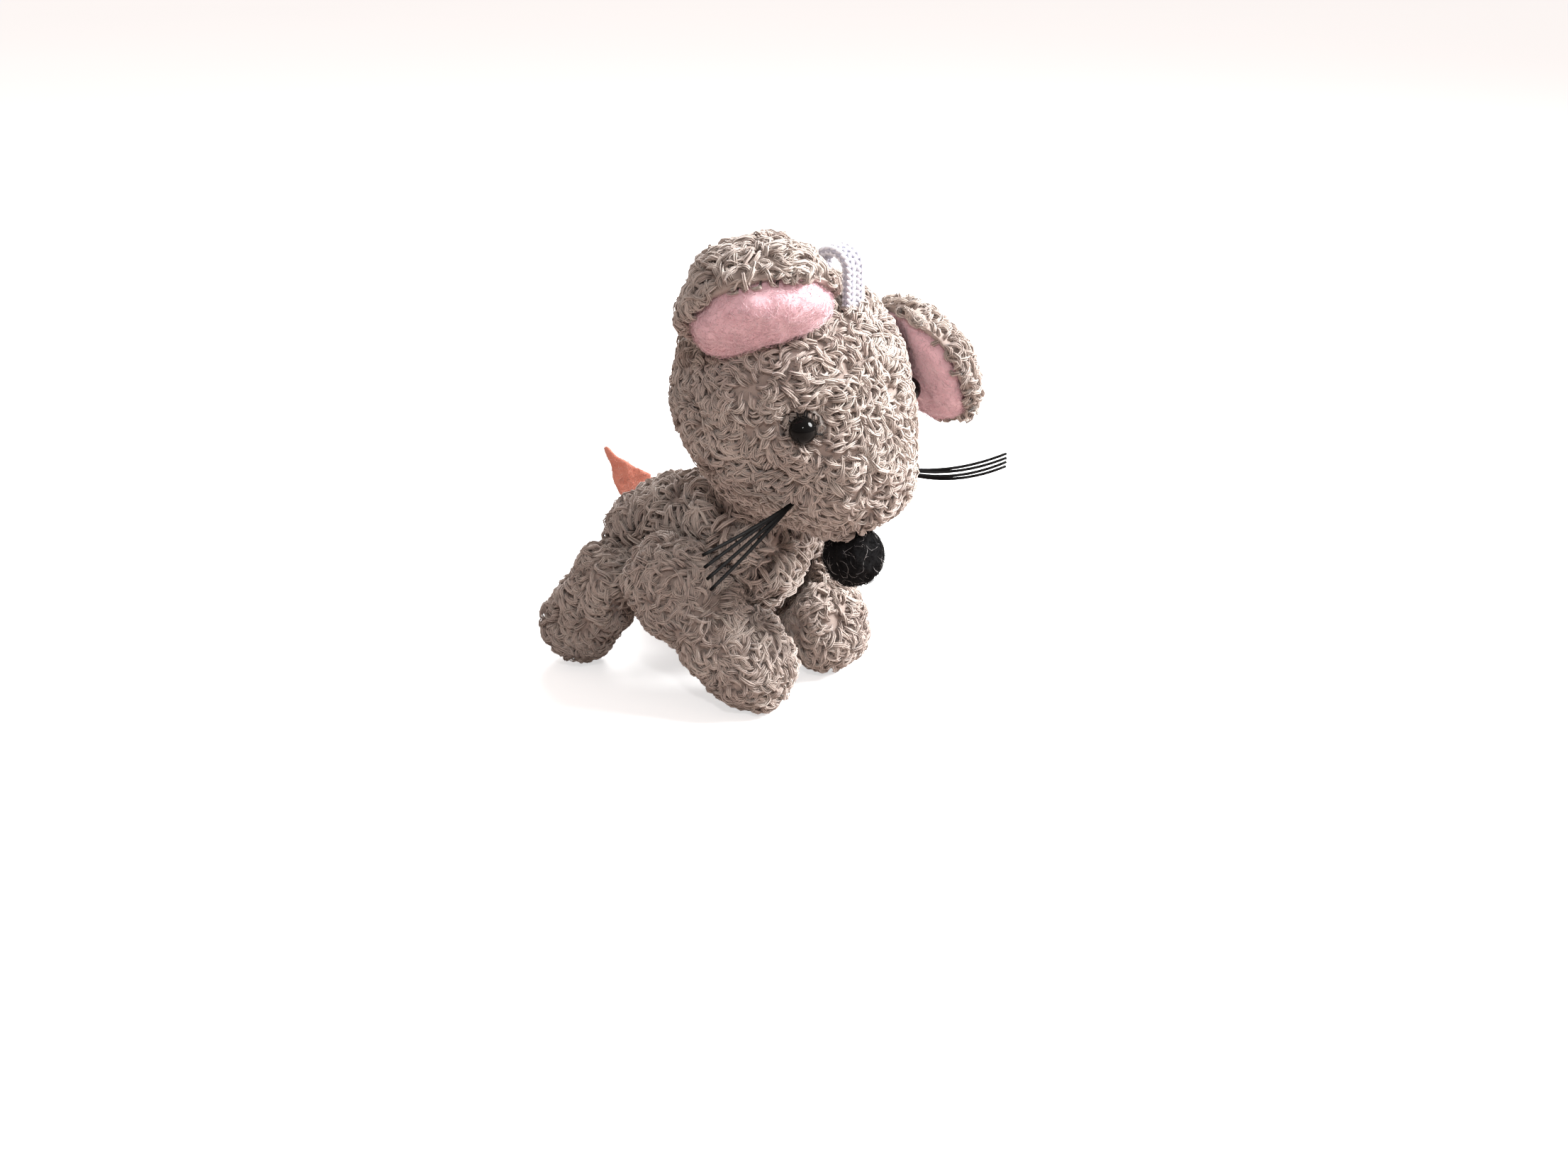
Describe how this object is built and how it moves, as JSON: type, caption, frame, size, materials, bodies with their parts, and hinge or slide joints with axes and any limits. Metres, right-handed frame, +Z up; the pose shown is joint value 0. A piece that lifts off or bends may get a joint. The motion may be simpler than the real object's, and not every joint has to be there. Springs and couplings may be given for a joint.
{
  "type": "soft plush mouse",
  "caption": "Small sewn plush mouse with curly fur, lined ears, felt nose, bead eyes, bristle whiskers, felt tail, thread-jointed legs and a hang loop.",
  "frame": {"origin": "on the ground, under the middle of the mouse's box", "axes": "+Z up; the mouse faces -Y and its right side is towards -X"},
  "size_m": [0.0647, 0.0691, 0.0821],
  "materials": {
    "boucle_fur": "curly taupe boucle pile",
    "stuffing": "polyester fibre filling",
    "pink_fleece": "brushed pink fleece",
    "black_bead": "glossy black bead",
    "black_thread": "black sewing thread",
    "black_felt": "felted black wool",
    "bristle": "black nylon bristle",
    "white_elastic": "white knitted elastic tape",
    "joint_thread": "strong joint thread",
    "coral_felt": "coral craft felt"
  },
  "bodies": {
    "trunk": {"body_side_right": "boucle_fur", "body_side_left": "boucle_fur", "belly_gusset": "boucle_fur", "body_stuffing": "stuffing", "shoulder_thread": "joint_thread", "hip_thread": "joint_thread", "tail_stitch": "coral_felt"},
    "neck": {"neck_plug": "boucle_fur"},
    "head": {"head_side_right": "boucle_fur", "head_side_left": "boucle_fur", "head_gusset": "boucle_fur", "head_stuffing": "stuffing", "eye_right": "black_bead", "eye_left": "black_bead", "eye_thread": "black_thread", "nose_ball": "black_felt", "nose_thread": "black_thread", "whiskers_right": "bristle", "whiskers_left": "bristle", "hang_loop": "white_elastic"},
    "ear_right": {"ear_right_back": "boucle_fur", "ear_right_lining": "pink_fleece"},
    "ear_left": {"ear_left_back": "boucle_fur", "ear_left_lining": "pink_fleece"},
    "front_leg_right": {"front_leg_right_skin": "boucle_fur", "front_leg_right_stuffing": "stuffing"},
    "front_leg_left": {"front_leg_left_skin": "boucle_fur", "front_leg_left_stuffing": "stuffing"},
    "hind_leg_right": {"hind_leg_right_skin": "boucle_fur", "hind_leg_right_stuffing": "stuffing"},
    "hind_leg_left": {"hind_leg_left_skin": "boucle_fur", "hind_leg_left_stuffing": "stuffing"},
    "tail": {"tail_strip": "coral_felt"}
  },
  "joints": [
    {"name": "head_turn", "type": "hinge", "parent": "trunk", "child": "neck", "pos_m": [0.00187, -0.0026, 0.03512], "axis": [0, 0, 1], "range_deg": [-15, 15]},
    {"name": "head_nod", "type": "hinge", "parent": "neck", "child": "head", "pos_m": [0.00187, -0.0026, 0.03512], "axis": [1, 0, 0], "range_deg": [-12, 8]},
    {"name": "ear_right_lift", "type": "hinge", "parent": "head", "child": "ear_right", "pos_m": [-0.00651, -0.0058, 0.07234], "axis": [-0.827, 0.5578, -0.0698], "range_deg": [0, 35]},
    {"name": "ear_left_lift", "type": "hinge", "parent": "head", "child": "ear_left", "pos_m": [0.01824, -0.01725, 0.06705], "axis": [-0.342, -0.9397, 0], "range_deg": [0, 50]},
    {"name": "front_leg_right_swing", "type": "hinge", "parent": "trunk", "child": "front_leg_right", "pos_m": [-0.01193, 0.0043, 0.021], "axis": [1, 0, 0], "range_deg": [-25, 6]},
    {"name": "front_leg_left_swing", "type": "hinge", "parent": "trunk", "child": "front_leg_left", "pos_m": [0.01567, 0.0043, 0.021], "axis": [1, 0, 0], "range_deg": [-25, 6]},
    {"name": "hind_leg_right_swing", "type": "hinge", "parent": "trunk", "child": "hind_leg_right", "pos_m": [-0.01163, 0.0206, 0.0176], "axis": [1, 0, 0], "range_deg": [-8, 30]},
    {"name": "hind_leg_left_swing", "type": "hinge", "parent": "trunk", "child": "hind_leg_left", "pos_m": [0.01537, 0.0206, 0.0176], "axis": [1, 0, 0], "range_deg": [-8, 30]},
    {"name": "tail_swing", "type": "hinge", "parent": "trunk", "child": "tail", "pos_m": [0.00187, 0.02485, 0.02953], "axis": [0.6946, -0.5087, 0.5087], "range_deg": [-35, 35]}
  ]
}
